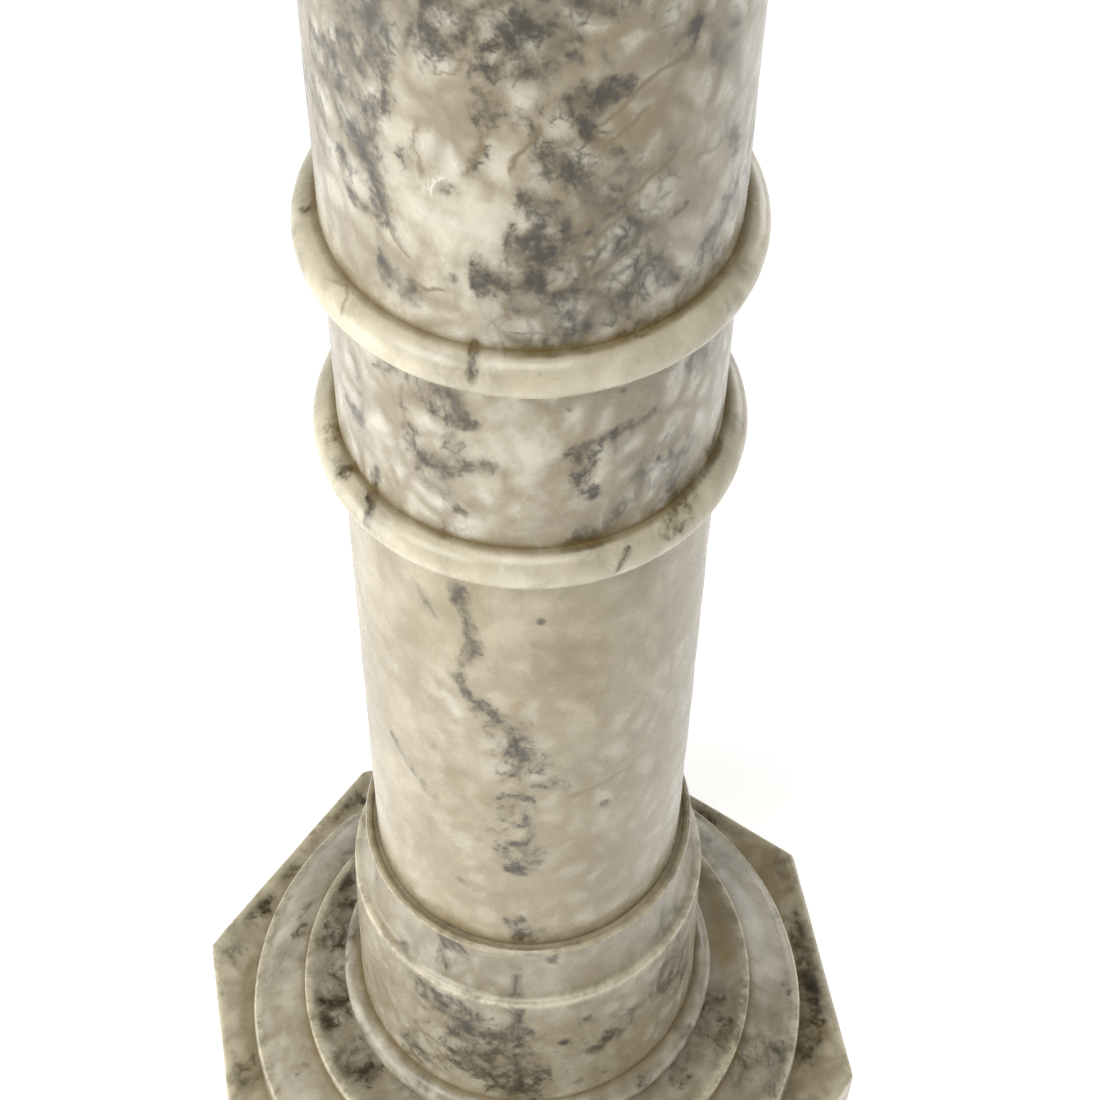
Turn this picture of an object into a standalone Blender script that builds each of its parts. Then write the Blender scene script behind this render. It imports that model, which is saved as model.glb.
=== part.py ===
"""A marble pedestal: octagonal plinth, turned base, shaft in two stones with a pair of
rings, turned capital and octagonal top.

All sizes are in metres. The origin is the centre of the plinth's underside and +Z is up.
Two of the plinth's eight sides face along X and two along Y. The stones stand on each
other with a hairline joint and nothing else holds them."""

import math

import bmesh
import bpy

# Joints between the stones
JOINT = 0.0003

# Octagonal plinth
PLINTH_ACROSS_FLATS = 0.305
PLINTH_THICKNESS = 0.030
PLINTH_EASING = 0.0025

# Disc at the foot of the base: its upright edge, rounded rim and bowed upper slope
DISC_RADIUS = 0.1344
DISC_EDGE_HEIGHT = 0.0193
DISC_RIM_ROUNDING = 0.0045
DISC_SLOPE_RISE = 0.014
DISC_SLOPE_BOW = 0.0015

# Step on the disc, with the hollow that rises from it to the bead
STEP_RADIUS = 0.108
STEP_RISER = 0.0048
STEP_EASING = 0.0015
STEP_HOLLOW_RISE = 0.0072

# Bead at the foot of the drum
BEAD_RADIUS = 0.0878
BEAD_HEIGHT = 0.0155

# Drum, which narrows upwards to its rounded arris
DRUM_FOOT_RADIUS = 0.0791
DRUM_TOP_RADIUS = 0.077
DRUM_HEIGHT = 0.0952
ARRIS_ROUNDING = 0.0018

# Hollow above the arris, up to the thin round lip that runs around the shaft's seat
HOLLOW_RADIUS = 0.0682
HOLLOW_HEIGHT = 0.0304
LIP_RADIUS = 0.0708
LIP_WIDTH = 0.0035

# Shaft
LOWER_SHAFT_RADIUS = 0.0654
LOWER_SHAFT_HEIGHT = 0.2595
UPPER_SHAFT_RADIUS = 0.066
UPPER_SHAFT_HEIGHT = 0.275

# Rings: the outer radius and height of each, and the distance from one to the other
RING_RADIUS = 0.0745
RING_HEIGHT = 0.0162
RING_SPACING = 0.0955

# Capital, which repeats the base's mouldings with a short drum
CAPITAL_DRUM_HEIGHT = 0.0295
CAPITAL_OVOLO_RADIUS = 0.1135
CAPITAL_OVOLO_HEIGHT = 0.021

# Octagonal top
TOP_ACROSS_FLATS = 0.260
TOP_THICKNESS = 0.030
TOP_EASING = 0.0025

# Fineness of the turned shapes
TURN_STEPS = 40
ARC_STEPS = 5
BEAD_STEPS = 6
ROUNDING_STEPS = 2

OCTAGON_SIDES = 8
EASING_SEGMENTS = 2
MERGE_DISTANCE = 0.00001
SHARP_ANGLE = math.radians(35)


def clear_scene():
    """Remove whatever the file holds before the pedestal is made."""
    for old in list(bpy.data.objects):
        bpy.data.objects.remove(old, do_unlink=True)


def stone(name, colour, roughness):
    """A polished stone of one colour."""
    material = bpy.data.materials.new(name)
    material.use_nodes = True
    shader = material.node_tree.nodes["Principled BSDF"]
    shader.inputs["Base Color"].default_value = (*colour, 1.0)
    shader.inputs["Roughness"].default_value = roughness
    shader.inputs["Metallic"].default_value = 0.0
    return material


def arc(centre, reach, rise, start, end, steps):
    """Points on an ellipse about (radius, height) centre, from the start angle to the end
    angle in degrees. 0 points away from the axis and 90 points up."""
    points = []
    for step in range(steps + 1):
        angle = math.radians(start + (end - start) * step / steps)
        points.append((centre[0] + reach * math.cos(angle), centre[1] + rise * math.sin(angle)))
    return points


def bead(crease_radius, outer_radius, top, height):
    """A half-round moulding, from its upper crease down to its lower one."""
    centre = (crease_radius, top - height / 2)
    return arc(centre, outer_radius - crease_radius, height / 2, 90, -90, BEAD_STEPS)


def hollow_down(inner_radius, outer_radius, top, height):
    """A quarter hollow that leaves the upright at its top and spreads out at its foot."""
    return arc((outer_radius, top), outer_radius - inner_radius, height, 180, 270, ARC_STEPS)


def rounded_edge(edge_radius, top, rounding):
    """A quarter round that turns from a level surface down to an upright one."""
    centre = (edge_radius - rounding, top - rounding)
    return arc(centre, rounding, rounding, 90, 0, ROUNDING_STEPS)


def bowed_slope(start, end, bow):
    """A slope down and outwards from one point to another, which rises by bow midway."""
    points = []
    for step in range(ARC_STEPS + 1):
        share = step / ARC_STEPS
        radius = start[0] + (end[0] - start[0]) * share
        level = start[1] + (end[1] - start[1]) * share
        points.append((radius, level + 4 * bow * share * (1 - share)))
    return points


def mirrored(points, height):
    """A profile turned upside down about the given height, still running downwards."""
    return [(radius, 2 * height - level) for radius, level in reversed(points)]


def collar(seat, drum_height):
    """Lip, hollow and drum, which the base and the capital share, down from the level where
    the shaft is seated."""
    lip_rounding = LIP_WIDTH / 2
    lip = arc((LIP_RADIUS - lip_rounding, seat), lip_rounding, lip_rounding, 180, -90, BEAD_STEPS)
    hollow_foot = seat - lip_rounding - HOLLOW_HEIGHT
    hollow = hollow_down(HOLLOW_RADIUS, DRUM_TOP_RADIUS - ARRIS_ROUNDING, seat - lip_rounding,
                         HOLLOW_HEIGHT)
    arris = rounded_edge(DRUM_TOP_RADIUS, hollow_foot, ARRIS_ROUNDING)
    return lip + hollow + arris[1:] + [(DRUM_FOOT_RADIUS, hollow_foot - drum_height)]


def keep_shape(thing):
    """Keep the mesh that the modifiers give, shaded smooth between its sharp edges."""
    evaluated = thing.evaluated_get(bpy.context.evaluated_depsgraph_get())
    mesh = bpy.data.meshes.new_from_object(evaluated)
    mesh.shade_smooth()
    mesh.set_sharp_from_angle(angle=SHARP_ANGLE)
    thing.modifiers.clear()
    thing.data = mesh


def turned(name, profile, material, collection):
    """A stone turned on the Z axis from a profile of (radius, height) points, top to bottom.
    The profile is closed by flat faces at its two ends."""
    outline = [(0.0, profile[0][1])] + profile + [(0.0, profile[-1][1])]
    mesh = bpy.data.meshes.new(name)
    edges = [(index, index + 1) for index in range(len(outline) - 1)]
    mesh.from_pydata([(radius, 0.0, level) for radius, level in outline], edges, [])
    mesh.materials.append(material)
    thing = bpy.data.objects.new(name, mesh)
    collection.objects.link(thing)
    screw = thing.modifiers.new("Turning", "SCREW")
    screw.axis = "Z"
    screw.steps = TURN_STEPS
    screw.render_steps = TURN_STEPS
    screw.use_merge_vertices = True
    screw.merge_threshold = MERGE_DISTANCE
    keep_shape(thing)


def octagonal_slab(name, across_flats, thickness, easing, underside, material, collection):
    """An octagonal slab with eased edges, its flat sides facing along X and Y."""
    corner_radius = across_flats / 2 / math.cos(math.pi / OCTAGON_SIDES)
    mesh = bpy.data.meshes.new(name)
    shape = bmesh.new()
    bmesh.ops.create_cone(shape, cap_ends=True, segments=OCTAGON_SIDES, radius1=corner_radius,
                          radius2=corner_radius, depth=thickness)
    shape.to_mesh(mesh)
    shape.free()
    mesh.materials.append(material)
    slab = bpy.data.objects.new(name, mesh)
    collection.objects.link(slab)
    slab.location.z = underside + thickness / 2
    slab.rotation_euler.z = math.pi / OCTAGON_SIDES
    easings = slab.modifiers.new("Eased edges", "BEVEL")
    easings.width = easing
    easings.segments = EASING_SEGMENTS
    easings.limit_method = "ANGLE"
    keep_shape(slab)


def base_profile(underside):
    """The base from its seat down: lip, hollow, drum, bead, hollow, step and disc."""
    rim_top = underside + DISC_EDGE_HEIGHT + DISC_RIM_ROUNDING
    step_foot = rim_top + DISC_SLOPE_RISE
    step_top = step_foot + STEP_RISER + STEP_EASING
    bead_foot = step_top + STEP_HOLLOW_RISE
    drum_foot = bead_foot + BEAD_HEIGHT
    seat = drum_foot + DRUM_HEIGHT + HOLLOW_HEIGHT + LIP_WIDTH / 2
    step_inner = STEP_RADIUS - STEP_EASING
    rim = rounded_edge(DISC_RADIUS, rim_top, DISC_RIM_ROUNDING)
    profile = collar(seat, DRUM_HEIGHT)
    profile += bead(DRUM_FOOT_RADIUS, BEAD_RADIUS, drum_foot, BEAD_HEIGHT)[1:]
    profile += hollow_down(DRUM_FOOT_RADIUS, step_inner, bead_foot, STEP_HOLLOW_RISE)[1:]
    profile += rounded_edge(STEP_RADIUS, step_top, STEP_EASING)[1:]
    profile += bowed_slope((STEP_RADIUS, step_foot), rim[0], DISC_SLOPE_BOW)
    profile += rim[1:]
    profile.append((DISC_RADIUS, underside))
    return profile


def ringed_shaft_profile(underside, top):
    """The upper stone from its top down: shaft, ring, short section and lower ring."""
    upper_ring_top = underside + RING_HEIGHT + RING_SPACING
    profile = [(UPPER_SHAFT_RADIUS, top)]
    profile += bead(UPPER_SHAFT_RADIUS, RING_RADIUS, upper_ring_top, RING_HEIGHT)
    profile += bead(UPPER_SHAFT_RADIUS, RING_RADIUS, underside + RING_HEIGHT, RING_HEIGHT)
    return profile


def capital_profile(underside):
    """The capital from its top down: ovolo, bead, drum, hollow and lip."""
    upside_down = collar(underside, CAPITAL_DRUM_HEIGHT)
    drum_end = upside_down[-1][1]
    upside_down += bead(DRUM_FOOT_RADIUS, BEAD_RADIUS, drum_end, BEAD_HEIGHT)[1:]
    ovolo_start = drum_end - BEAD_HEIGHT
    ovolo_centre = (DRUM_FOOT_RADIUS, ovolo_start - CAPITAL_OVOLO_HEIGHT)
    upside_down += arc(ovolo_centre, CAPITAL_OVOLO_RADIUS - DRUM_FOOT_RADIUS,
                       CAPITAL_OVOLO_HEIGHT, 90, 0, ARC_STEPS)[1:]
    return mirrored(upside_down, underside)


def build_pedestal():
    """Make the six stones, each standing on the one below it."""
    clear_scene()
    collection = bpy.data.collections.new("marble_pedestal")
    bpy.context.scene.collection.children.link(collection)
    plinth_stone = stone("plinth_marble", (0.42, 0.36, 0.26), 0.34)
    base_stone = stone("base_marble", (0.50, 0.44, 0.34), 0.32)
    lower_stone = stone("lower_shaft_marble", (0.58, 0.52, 0.42), 0.30)
    upper_stone = stone("upper_shaft_marble", (0.55, 0.50, 0.41), 0.30)
    capital_stone = stone("capital_marble", (0.50, 0.44, 0.34), 0.32)
    top_stone = stone("top_marble", (0.46, 0.40, 0.30), 0.32)

    octagonal_slab("plinth", PLINTH_ACROSS_FLATS, PLINTH_THICKNESS, PLINTH_EASING, 0.0,
                   plinth_stone, collection)

    base = base_profile(PLINTH_THICKNESS + JOINT)
    turned("base", base, base_stone, collection)

    lower_foot = base[0][1] + JOINT
    lower_top = lower_foot + LOWER_SHAFT_HEIGHT
    lower_shaft = [(LOWER_SHAFT_RADIUS, lower_top), (LOWER_SHAFT_RADIUS, lower_foot)]
    turned("lower_shaft", lower_shaft, lower_stone, collection)

    ring_foot = lower_top + JOINT
    upper_top = ring_foot + RING_HEIGHT + RING_SPACING + UPPER_SHAFT_HEIGHT
    upper_shaft = ringed_shaft_profile(ring_foot, upper_top)
    turned("upper_shaft", upper_shaft, upper_stone, collection)

    capital = capital_profile(upper_top + JOINT)
    turned("capital", capital, capital_stone, collection)

    octagonal_slab("top", TOP_ACROSS_FLATS, TOP_THICKNESS, TOP_EASING, capital[0][1] + JOINT,
                   top_stone, collection)


build_pedestal()
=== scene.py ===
import math

import bpy
import numpy as np
from mathutils import Matrix, Vector
from mathutils.bvhtree import BVHTree


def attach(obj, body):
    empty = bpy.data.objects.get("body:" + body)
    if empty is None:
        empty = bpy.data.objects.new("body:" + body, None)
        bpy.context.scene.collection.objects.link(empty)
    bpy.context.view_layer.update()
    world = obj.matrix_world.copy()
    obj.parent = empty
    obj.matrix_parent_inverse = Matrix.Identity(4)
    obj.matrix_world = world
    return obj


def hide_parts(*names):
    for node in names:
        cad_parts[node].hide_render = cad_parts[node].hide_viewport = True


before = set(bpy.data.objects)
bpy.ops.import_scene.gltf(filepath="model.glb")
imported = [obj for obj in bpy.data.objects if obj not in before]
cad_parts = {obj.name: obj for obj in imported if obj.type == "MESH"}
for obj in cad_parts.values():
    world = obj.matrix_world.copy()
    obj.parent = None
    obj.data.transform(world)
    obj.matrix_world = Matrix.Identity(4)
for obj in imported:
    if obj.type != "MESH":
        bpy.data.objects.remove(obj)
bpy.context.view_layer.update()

MICRON = 0.000001
MM = 0.001
TINY = 1e-12

# Camera, fitted to the photograph's outline. The bearing turns the pedestal's flat sides
# as the photograph shows them.
PHOTO_PIXELS = 1100
FOCAL_PIXELS = 2344
SENSOR_MM = 36
CAMERA_DISTANCE = 0.522
CAMERA_HEIGHT = 1.1072
CAMERA_BEARING = math.radians(-10.05)
CAMERA_TILT = math.radians(53.08)
CAMERA_PAN = math.radians(-0.83)
CAMERA_ROLL = math.radians(0.97)

# Fineness of the stones' meshes and of the marks' traces. A corner that turns further than
# CREASE_TURN stays sharp, and any other is smoothed into its arc.
AROUND = 320
ROW_SPACING = 0.0015
ROW_TURN = math.radians(15)
CREASE_TURN = math.radians(42)
SHARP_ANGLE = math.radians(34)
PIXEL_STEP = 6
PLACE_DIGITS = 5

# Slabs. Their upper edges are eased by a small arc, and their flat faces start a new row of
# points at a share of their width.
SLABS = ("plinth", "top")
SLAB_SIDES = 8
SLAB_CORNER_ROUNDING = 0.004
SLAB_EASING = 0.0025
SLAB_EASING_STEPS = 4
SLAB_INNER_SHARE = 0.8

# Hand work in the stone: long and short waves of its surface, each a mix of many plain waves
LONG_WAVE = 0.045
LONG_WAVE_HEIGHT = 0.00018
SHORT_WAVE = 0.012
SHORT_WAVE_HEIGHT = 0.00006
WAVES_MIXED = 14
WAVE_RATES = (0.6, 1.5)
WAVE_GAIN = 2.2

# Random draws. Each stone has its own seeds: two for its waves, then three for the drift.
SEEDS_PER_STONE = 10
DRIFT_SEED = 2

# Dirt and painted shade in the hollow corners and joints, and wear and painted highlight on the
# tight edges
CREASE_REACH = 0.0022
CONTACT_REACH = 0.006
CONTACT_SHADE_AND_DIRT = 0.6
EDGE_REACH = 0.0025
EDGE_BEND = math.radians(11) / MM

# Rings round the upper shaft, which are plainer and creamier than the shaft itself
RING_FOOT = {"upper_shaft": 0.0667}
RING_BLEND = 0.002

# Marks. A soft mark reaches beyond its own half width by a multiple of it, a vein's strength
# fades at both ends and at its sides, and a slow drift makes both less regular.
SOFT_REACH = 3.0
SOFTNESS = 1.3
GREY_SOFTNESS = 2.4
VEIN_REACH = 10.0
VEIN_END_SHARE = 0.125
LINE_REACH = 0.0034
LINE_FADE = 0.0014
DRIFT_WAVE = 0.02
DRIFT_REACH = 0.0012

# Stone colours, 0 to 255 as a screen shows them, and how strongly each layer shows
PLAIN_LOOK = {"body": (160, 151, 129), "light": (202, 194, 175), "olive": (148, 134, 101),
              "milk": (218, 214, 201), "cream": (216, 207, 178), "grey": (101, 91, 68),
              "dark": (46, 39, 27), "thread": (118, 102, 72), "warm": 0.35, "borders": 0.4,
              "spots": 0.5, "clouds": 0.8, "rough": 0.17}
LOOKS = {
    "plinth": {**PLAIN_LOOK, "seed": 1, "body": (176, 165, 139), "light": (203, 192, 166),
               "olive": (160, 146, 115), "milk": (212, 202, 178), "clouds": 0.5, "spots": 0.3},
    "base": {**PLAIN_LOOK, "seed": 2, "body": (140, 132, 113), "light": (176, 168, 148),
             "milk": (194, 187, 168), "clouds": 0.6},
    "lower_shaft": {**PLAIN_LOOK, "seed": 3, "body": (154, 142, 115), "light": (184, 173, 147),
                    "clouds": 0.25, "spots": 0.3, "borders": 0.25},
    "upper_shaft": {**PLAIN_LOOK, "seed": 4, "warm": 0.15, "clouds": 0.95, "spots": 0.85,
                    "borders": 0.6},
    "capital": {**PLAIN_LOOK, "seed": 5},
    "top": {**PLAIN_LOOK, "seed": 6},
}
HONEY = (158, 132, 88)
# Ochre laid in the creases and joints: dirt, with painted shade
OCHRE_DIRT_AND_SHADE = (124, 105, 64)
FLOOR_WHITE = (248, 247, 245)
WHITE = (1, 1, 1, 1)

# The marble's noises, as (scale, detail, roughness)
BROAD_NOISE = (13.0, 2.0, 0.6)
MIDDLE_NOISE = (38.0, 4.0, 0.62)
FINE_NOISE = (120.0, 4.0, 0.7)
WANDER_NOISE = (120.0, 3.0, 0.65)
NOISE_MIDDLE = 0.5
MOTTLE_SHARES = (0.6, 0.4)

# How noise shifts the pattern, as (scale, detail, reach), and the pattern's place on a stone
STIR = (10.0, 2.0, 0.02)
FRAY = (70.0, 4.0, 0.011)
UPRIGHT_STRETCH = (1.0, 1.0, 0.75)
STEP_PER_SEED = 1.7

# Webs of dark lines between cells, and the share of the wide web's strength in the small one
WIDE_WEB = 75.0
SMALL_WEB = 190.0
WEB_SOFT_SHARE = 0.7
WEB_LINE_SHARE = 0.8
WEB_BORDER = (0.42, 0.0)
WEB_BORDER_POWER = 1.4
WEB_SOFT_DENSITY = (0.0, 0.7)
WEB_LINE_DENSITY = (0.05, 0.6)
WEB_LINE_WIDTH = 0.03
WEB_LINE_GROWTH = 0.16

# Where each layer of the marble begins to show and where it shows in full, on the noise or
# field that it follows
FULL_RISE = (0.0, 1.0)
LIGHT_BY_MOTTLE = (0.28, 0.64)
WARM_BY_BROAD = (0.42, 0.62)
WARM_BY_MIDDLE = (0.7, 0.38)
CLOUD_BY_BROAD = (0.58, 0.36)
CLOUD_BY_MIDDLE = (0.42, 0.6)
GREY_TORN = (0.1, 1.15)
GREY_BY_MARK = (0.0, 0.5)
SPOT_BY_BORDER = (0.75, 0.0)
SPOT_BY_BROAD = (0.64, 0.4)
SPOT_BY_MOTTLE = (0.32, 0.6)
PALE_TORN = (0.1, 0.75)
CREAM_BY_MIDDLE = (0.3, 0.6)
BORDER_BY_MIDDLE = (0.7, 0.42)
LINE_BY_FINE = (0.35, 0.65)
CLUMP_BY_FINE = (0.6, 0.92)
CLUMP_BY_DENSITY = (0.1, 0.6)
VEIN_BY_FINE = (0.25, 0.5)
PATCHY_BY_FINE = (0.3, 0.6)
DIRT_AND_SHADE_BY_FINE = (0.1, 0.6)

# How much plainer the rings are, how far noise tears the edges of the marks, and how much
# dense grey adds to the dark clumps
RING_PLAINNESS = 0.75
TEAR = 2.0
CLUMP_GROWTH = 0.22

# How strongly each layer covers what is under it, where it shows in full
CREAM_COVER = 0.8
CLOUD_COVER = 0.45
SOFT_COVER = 0.7
LINE_COVER = 0.7
CLUMP_COVER = 0.8
EDGE_WEAR_AND_HIGHLIGHT_COVER = 0.75
DIRT_AND_SHADE_COVER = 0.85

# Veins, cracks, and scratches with the painted glint on a pit's rim: how far they sway and how wide
# they are, in their half widths
VEIN_SWAY = 20.0
VEIN_SIDES = (6.0, 0.0)
VEIN_SIDES_COVER = 0.5
VEIN_CORE = (1.8, 0.0)
VEIN_CORE_COVER = 0.85
CRACK_SWAY = 12.0
SCRATCH_AND_GLINT_SWAY = 0.5
CRACK_SIDES = (4.5, 0.0)

# The polish and the faint unevenness that light picks out
ROUGH_BY_FINE = 0.2
BUMP_STRENGTH = 0.12
BUMP_HEIGHT = 0.0004

# Sockets of the mix node: the share, the two values or colours, and the mixed colour
MIX_SHARE = 0
MIX_VALUES = (2, 3)
MIX_COLOURS = (6, 7)
MIXED_COLOUR = 2

# Surroundings: a glowing white floor and soft lights, as (name, place, aim, width, watts)
FLOOR_HALF = 6.0
FLOOR_ROUGHNESS = 0.9
FLOOR_GLOW = 0.6
WORLD_LIGHT = 0.08
HORIZON_LIGHT = 0.8
WORLD_BAND = 0.45
LIGHTS = (
    ("key", (-1.15, -0.75, 1.55), (0, 0, 0.4), 0.8, 13),
    ("left", (-1.2, -0.1, 0.35), (0, 0, 0.3), 0.7, 6),
    ("above", (-0.2, -0.9, 2.9), (0, 0, 0.5), 1.2, 29),
    ("right", (1.5, 0.9, 0.7), (0, 0, 0.4), 0.8, 7),
)

# Places where one stone meets the next, as (radius, height), which hold a wider band of painted
# shade and dirt
CONTACTS = {
    "plinth": ((0.1344, 0.030),),
    "base": ((0.0665, 0.2252),),
    "lower_shaft": ((0.0654, 0.2252),),
}

# Marks in the stone, with a few marked below that are painted shade and painted highlights. Each has
# a half width in the photograph's pixels, a strength and the places in the photograph that it runs
# through. A dent's strength is its depth in millimetres, and below zero it is a lump.
GREY_MARKS = (
    # Upper shaft, left
    (16, 0.35, ((360, 110), (372, 180), (392, 285))),
    (9, 0.8, ((345, 22),)),
    (5, 0.5, ((340, 40),)),
    (6, 0.6, ((374, 62), (386, 74))),
    (6, 0.6, ((366, 106), (396, 100))),
    (11, 0.65, ((362, 128), (368, 152))),
    (9, 0.75, ((374, 180), (381, 205))),
    (5, 0.5, ((350, 190), (362, 208))),
    (7, 0.75, ((398, 278), (405, 292))),
    (4, 0.7, ((412, 298),)),
    (5, 0.5, ((388, 262), (400, 276))),
    # Upper shaft, middle
    (18, 0.4, ((470, 40), (490, 90), (480, 130))),
    (14, 0.4, ((425, 20), (430, 70))),
    (14, 0.35, ((540, 120), (560, 170), (600, 150))),
    (10, 0.4, ((400, 130), (410, 170))),
    (6, 0.35, ((484, 262), (478, 290))),
    (9, 0.9, ((514, 28), (517, 42))),
    (5, 0.6, ((524, 56), (530, 76))),
    (4, 0.7, ((498, 74),)),
    (6, 0.6, ((494, 100), (486, 112))),
    (5, 0.5, ((478, 88),)),
    (10, 0.85, ((580, 98), (586, 106))),
    (8, 0.85, ((606, 92), (624, 85))),
    (6, 0.8, ((592, 116),)),
    (9, 0.45, ((602, 140), (608, 152))),
    (5, 0.5, ((470, 172), (480, 150))),
    (8, 0.6, ((448, 188),)),
    (7, 0.7, ((528, 200), (540, 214), (549, 223))),
    (8, 0.75, ((512, 240), (518, 252))),
    (6, 0.65, ((528, 262), (545, 254))),
    (24, 0.28, ((530, 210), (515, 290))),
    (6, 0.6, ((505, 285),)),
    (6, 0.5, ((536, 286),)),
    (3, 0.8, ((452, 275), (448, 280))),
    # Upper shaft, right
    (6, 0.6, ((702, 8), (694, 30))),
    (9, 0.35, ((672, 214), (690, 200))),
    (8, 0.55, ((737, 130), (729, 180), (722, 215), (710, 244))),
    # First ring
    (4, 0.6, ((476, 346), (471, 362), (467, 380))),
    (5, 0.5, ((299, 206), (314, 216))),
    (1.3, 0.6, ((541, 378),)),
    (1.3, 0.6, ((605, 384),)),
    (2, 0.5, ((578, 388),)),
    (2, 0.5, ((628, 370),)),
    # Between the rings
    (20, 0.3, ((405, 385), (450, 400), (465, 450), (425, 460))),
    (6, 0.85, ((440, 390), (455, 400), (456, 418))),
    (5, 0.6, ((462, 414), (474, 424))),
    (6, 0.5, ((425, 402),)),
    (5, 0.5, ((405, 410), (410, 438))),
    (8, 0.85, ((418, 455), (436, 464), (452, 464))),
    (4, 0.8, ((472, 468), (487, 464), (484, 474))),
    (6, 0.5, ((452, 438), (460, 458))),
    # Painted shade under the first ring
    (10, 0.45, ((398, 370), (416, 380))),
    (7, 0.5, ((350, 398), (356, 412))),
    (6, 0.4, ((370, 358),)),
    (4, 0.75, ((376, 468), (373, 494))),
    (6, 0.55, ((560, 462), (578, 450), (602, 440), (630, 425), (656, 412))),
    (9, 0.55, ((582, 466), (586, 490))),
    (4, 0.5, ((572, 410),)),
    (5, 0.5, ((656, 462),)),
    (5, 0.5, ((686, 428), (702, 442))),
    (3, 0.7, ((621, 392),)),
    (4, 0.7, ((461, 512),)),
    (4, 0.4, ((625, 520),)),
    # Second ring
    (8, 0.55, ((326, 426), (335, 442), (342, 470))),
    (8, 0.55, ((688, 504), (666, 532))),
    (2, 0.6, ((718, 480),)),
    (2, 0.5, ((626, 548), (618, 570))),
    (4, 0.6, ((372, 508), (366, 524))),
    # Lower shaft
    (6, 0.9, ((456, 585), (466, 622), (474, 645), (468, 664))),
    (6, 0.7, ((463, 680), (468, 696))),
    (6, 0.5, ((480, 708), (500, 718))),
    (14, 0.55, ((508, 728), (515, 748), (524, 768))),
    (14, 0.5, ((516, 800), (512, 830), (516, 860))),
    (6, 0.6, ((526, 846), (531, 862))),
    (5, 0.5, ((520, 872),)),
    (10, 0.6, ((514, 924), (532, 936))),
    (4, 0.6, ((543, 622),)),
    (4, 0.5, ((534, 644),)),
    (5, 0.5, ((605, 722),)),
    (6, 0.5, ((395, 740), (415, 770), (430, 792))),
    (4, 0.4, ((436, 735), (431, 748))),
    (8, 0.35, ((420, 590), (428, 612))),
    (16, 0.3, ((570, 590), (612, 584), (640, 575))),
    (7, 0.45, ((545, 782),)),
    (8, 0.35, ((580, 786),)),
    (6, 0.4, ((604, 806),)),
    (7, 0.35, ((570, 850),)),
    (4, 0.6, ((460, 880),)),
    (6, 0.35, ((500, 896),)),
    # Base
    (8, 0.5, ((376, 870),)),
    (5, 0.85, ((446, 930), (450, 946))),
    (4, 0.85, ((402, 944), (408, 960))),
    (22, 0.55, ((450, 1015), (485, 1060))),
    (14, 0.6, ((500, 1040), (520, 1090))),
    (8, 0.4, ((420, 1030),)),
    (5, 0.7, ((436, 1005), (456, 1016), (476, 1042))),
    (8, 0.65, ((452, 1064), (470, 1060))),
    (6, 0.65, ((488, 1070), (505, 1090))),
    (7, 0.5, ((517, 1000), (518, 1040), (518, 1100))),
    (4, 0.9, ((554, 960),)),
    (5, 0.6, ((640, 1006), (600, 1046))),
    (5, 0.5, ((666, 962), (660, 985))),
    (4, 0.4, ((568, 1040), (584, 1044))),
    (20, 0.35, ((545, 1070), (600, 1070))),
    (14, 0.4, ((590, 1020), (630, 1020))),
    # Disc and plinth, left
    (8, 0.65, ((352, 797),)),
    (6, 0.5, ((333, 822),)),
    (8, 0.65, ((288, 870),)),
    (9, 0.65, ((258, 904),)),
    (8, 0.65, ((350, 884), (340, 896))),
    (6, 0.65, ((320, 936),)),
    (7, 0.45, ((283, 956),)),
    (8, 0.7, ((324, 1000), (330, 1020))),
    (10, 0.5, ((300, 1070),)),
    (7, 0.65, ((370, 1075),)),
    (8, 0.4, ((345, 950), (345, 985))),
    # Disc and plinth, right
    (9, 0.95, ((708, 812),)),
    (6, 0.5, ((705, 836),)),
    # Partly a vein, partly painted shade on the plinth beside the disc's foot
    (9, 0.8, ((800, 930), (810, 975), (806, 1048))),
    (8, 0.75, ((728, 1030),)),
    (10, 0.35, ((768, 1012),)),
    (4, 0.6, ((786, 988),)),
    (5, 0.8, ((645, 1080),)),
    (6, 0.75, ((682, 1080),)),
    (7, 0.4, ((700, 975),)),
)
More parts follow.
